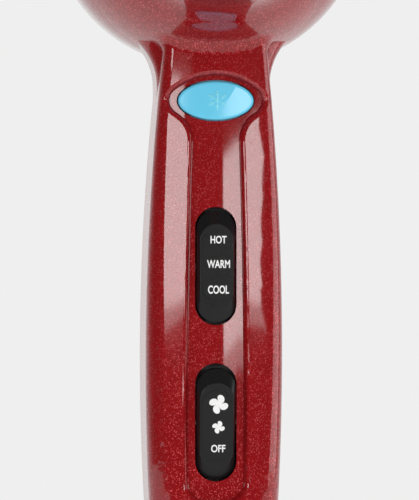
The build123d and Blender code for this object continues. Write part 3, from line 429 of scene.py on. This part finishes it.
def fanMesh(name, rise, radius):
    # leaning petals: the radius swells once per petal over the angle, and the angle winds on with the radius
    angle = np.linspace(0, 2 * np.pi, 161)[:-1]
    swell = np.abs(np.sin(prints["petals"] / 2 * angle)) ** prints["petalBulge"]
    edge = radius * (prints["petalRoot"] + (1 - prints["petalRoot"]) * swell)
    reach = edge[:, None] * np.linspace(0, 1, 9)[None, :]
    wind = angle[:, None] + prints["petalWind"] * (reach / radius)
    face, middle, turn = padFace("speed_rocker")
    across = prints["centreX"] + reach * np.cos(wind)
    upward = middle + rise + reach * np.sin(wind)
    back = np.stack([across, np.full_like(reach, face), upward], -1)
    front = np.stack([across, np.full_like(reach, face - prints["ink"]), upward], -1)
    mesh = gridMesh(name, np.concatenate([front, back[:, ::-1]], 1), closedU=True)
    mesh.transform(turn)
    return mesh


for word, (body, rise, width, height) in prints["words"].items():
    sign = wordMesh(word, rise, width, height, body)
    addPiece("print" + word.capitalize(), sign, body, inkWhite)
for name, (rise, radius) in prints["fans"].items():
    addPiece(name, fanMesh(name, rise, radius), "speed_rocker", inkWhite)
print("prints on the rockers")

# Snowflake raised on the crowned face of the button
snowflake = {
    "centreX": 0.35 * mm,
    "arm": 3.0 * mm,
    "turns": np.radians(np.arange(30.0, 390.0, 60.0)),  # one for each arm
    "forks": (0.5, 0.78),  # where branches leave an arm, as a share of it
    "branch": 1.05 * mm,
    "branchFade": 1.25,  # less the fork's share gives a branch's share of that length
    "branchLeans": np.radians((-55.0, 55.0)),
    "bar": 0.22 * mm,  # half width
    "raised": 0.12 * mm,
    "sunk": 0.01 * mm,
    # the button's face: its front, its radius across and how far it leans forward at the top
    "face": -19.9 * mm,
    "dome": 85.0 * mm,
    "lean": math.radians(2.0),
}


def snowflakeMesh():
    # round-backed bars on the crowned face: six arms, each with two pairs of slanted branches
    low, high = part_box("cool_shot_button")
    middle = np.array([snowflake["centreX"], (low.z + high.z) / 2])
    starts, ends = [], []
    for turn in snowflake["turns"]:
        way = np.array([np.cos(turn), np.sin(turn)])
        starts.append(np.zeros(2))
        ends.append(way * snowflake["arm"])
        for fork in snowflake["forks"]:
            root = way * snowflake["arm"] * fork
            size = snowflake["branch"] * (snowflake["branchFade"] - fork)
            for lean in snowflake["branchLeans"]:
                starts.append(root)
                ends.append(root + size * np.array([np.cos(turn + lean), np.sin(turn + lean)]))
    starts, ends = np.array(starts), np.array(ends)
    along = np.linspace(0, 1, 13)
    across = np.linspace(-1, 1, 9)
    way = (ends - starts) / np.linalg.norm(ends - starts, axis=1)[:, None]
    side = np.stack([-way[:, 1], way[:, 0]], -1)
    spine = starts[:, None] + (ends - starts)[:, None] * along[None, :, None]
    flat = spine[:, :, None] + side[:, None, None] * (across * snowflake["bar"])[None, None, :, None]
    # the back is half an ellipse across a bar, and drops to nothing over the last eighth of it
    taper = np.clip(8 * (1 - along), 0, 1) ** 0.5
    back = snowflake["raised"] * np.sqrt(1 - across ** 2)[None, None, :] * taper[None, :, None]
    spot = flat + middle
    # the face falls away from its middle line with the square of x, and leans forward towards its top
    fall = spot[..., 0] ** 2 / (2 * snowflake["dome"])
    sink = fall - (spot[..., 1] - middle[1]) * math.tan(snowflake["lean"])
    points = np.stack([spot[..., 0], snowflake["face"] + sink - back + snowflake["sunk"], spot[..., 1]], -1)
    index = np.arange(points[..., 0].size).reshape(points.shape[:3])
    corners = [index[:, :-1, :-1], index[:, :-1, 1:], index[:, 1:, 1:], index[:, 1:, :-1]]
    faces = np.stack(corners, -1).reshape(-1, 4)
    mesh = bpy.data.meshes.new("snowflake")
    mesh.from_pydata(points.reshape(-1, 3).tolist(), [], faces.tolist())
    mesh.shade_smooth()
    mesh.update()
    return mesh


addPiece("snowflake", snowflakeMesh(), "cool_button", milkyBlue("snowBlue", 22))
print("snowflake on the button")

# Floor, light and camera
studio = {
    "floorRadius": 0.52,
    "floorDrop": 0.4 * mm,
    "mirroredFloor": 1.0,
    "paper": rgb(239, 239, 239),
    "paperShade": rgb(232, 232, 232),
    "paperGrain": 400.0,
    "paperRough": 0.7,
    "paperUneven": 0.1,
    "fill": 0.9,
    # what polished faces mirror, from the front of the room to its back
    "room": ((0.0, 0.05), (0.5, 0.06), (0.66, 0.25), (0.85, 0.8), (1.0, 0.86)),
    "softboxes": {
        # azimuth, distance, height, width, tall, roll, brightness
        "leftBox": (-21.5, 1.1, 0.134, 0.488, 0.124, 0.0, 8.2),
        "leftFade": (-21.5, 1.1, 0.065, 0.488, 0.014, 0.0, 3.0),
        "rightBox": (19.4, 1.05, 0.114, 0.393, 0.104, 4.0, 8.2),
        "rightFade": (19.4, 1.05, 0.054, 0.393, 0.016, 4.0, 3.0),
        "sideFill": (88.0, 1.0, 0.12, 0.7, 0.6, 0.0, 2.0),
    },
}
cameraPlan = {
    "azimuth": -5.3,
    "elevation": 0.0,
    "distance": 1.3,
    "aim": (-0.0001, 0.0, 0.1033),
    "span": 0.145,  # height of the frame at the aim
    "sensor": 24.0,
}


def backward(azimuth, elevation):
    a, e = math.radians(azimuth), math.radians(elevation)
    return Vector((math.sin(a) * math.cos(e), -math.cos(a) * math.cos(e), math.sin(e)))


def floorDisc():
    # rings of radius by angle, flat under the lowest point
    angle = np.linspace(0, 2 * np.pi, 97)[:-1]
    reach = np.linspace(0.0, studio["floorRadius"], 9)
    level = np.full((len(angle), len(reach)), cadBox[0][2] - studio["floorDrop"])
    points = np.stack([reach * np.cos(angle)[:, None], reach * np.sin(angle)[:, None], level], -1)
    mesh = gridMesh("floor", points[:, ::-1], closedU=True)
    floor = bpy.data.objects.new("floor", mesh)
    bpy.context.scene.collection.objects.link(floor)
    f = Finish("palePaper")
    grain = f.noise(studio["paperGrain"])
    f.feed("Base Color", f.mix(grain, studio["paperShade"], studio["paper"]))
    f.feed("Roughness", grain * studio["paperUneven"] + studio["paperRough"])
    # where the dryer mirrors it, the paper is plain white
    glow = f.node("Emission", None, {"Strength": studio["mirroredFloor"]})
    mirrored = f.node("LightPath", output="Is Glossy Ray")
    plug(f.tree, f.surface, f.node("MixShader", None, {0: mirrored, 1: f.shader, 2: glow}))
    mesh.materials.append(f.material)


def studioWorld():
    # the camera sees paper, mirrored rays see the room, and all others an even fill
    world = bpy.data.worlds.new("studio")
    bpy.context.scene.world = world
    world.use_nodes = True
    tree = world.node_tree
    tree.nodes.clear()
    out = tree.nodes.new("ShaderNodeOutputWorld")
    toward = addNode(tree, "TexCoord", output="Generated")
    depth = addNode(tree, "SeparateXYZ", None, {0: toward}, 1)
    stops = [(place, (level, level, level, 1.0)) for place, level in studio["room"]]
    room = addNode(tree, "ValToRGB", {"stops": stops}, {0: depth * 0.5 + 0.5})
    paper = addNode(tree, "Background", None, {0: studio["paper"], 1: 1.0})
    fill = addNode(tree, "Background", None, {0: (1, 1, 1, 1), 1: studio["fill"]})
    mirror = addNode(tree, "Background", None, {0: room})
    camera = addNode(tree, "LightPath", output="Is Camera Ray")
    bounce = (camera.beside("Is Glossy Ray") + camera.beside("Is Transmission Ray")).clamp()
    around = addNode(tree, "MixShader", None, {0: bounce, 1: fill, 2: mirror})
    plug(tree, out.inputs[0], addNode(tree, "MixShader", None, {0: camera, 1: around, 2: paper}))


def softbox(name, azimuth, distance, height, width, tall, roll, brightness):
    lamp = bpy.data.lights.new(name, "AREA")
    lamp.shape = "RECTANGLE"
    lamp.size = width
    lamp.size_y = tall
    lamp.energy = brightness * math.pi * width * tall
    holder = bpy.data.objects.new(name, lamp)
    bpy.context.scene.collection.objects.link(holder)
    back = backward(azimuth, 0.0)
    holder.location = back * distance + Vector((0, 0, height))
    facing = back.to_track_quat("Z", "Y").to_matrix()
    holder.rotation_euler = (facing @ Matrix.Rotation(math.radians(roll), 3, "Z")).to_euler()


def photoCamera():
    lens = bpy.data.cameras.new("photoCamera")
    lens.sensor_fit = "VERTICAL"
    lens.sensor_height = cameraPlan["sensor"]
    lens.lens = cameraPlan["sensor"] * cameraPlan["distance"] / cameraPlan["span"]
    lens.clip_start = 0.05
    holder = bpy.data.objects.new("photoCamera", lens)
    bpy.context.scene.collection.objects.link(holder)
    back = backward(cameraPlan["azimuth"], cameraPlan["elevation"])
    holder.location = Vector(cameraPlan["aim"]) + back * cameraPlan["distance"]
    holder.rotation_euler = back.to_track_quat("Z", "Y").to_euler()
    bpy.context.scene.camera = holder


floorDisc()
studioWorld()
for name, plan in studio["softboxes"].items():
    softbox(name, *plan)
photoCamera()
bpy.context.scene.view_settings.view_transform = "Standard"
print("studio ready")
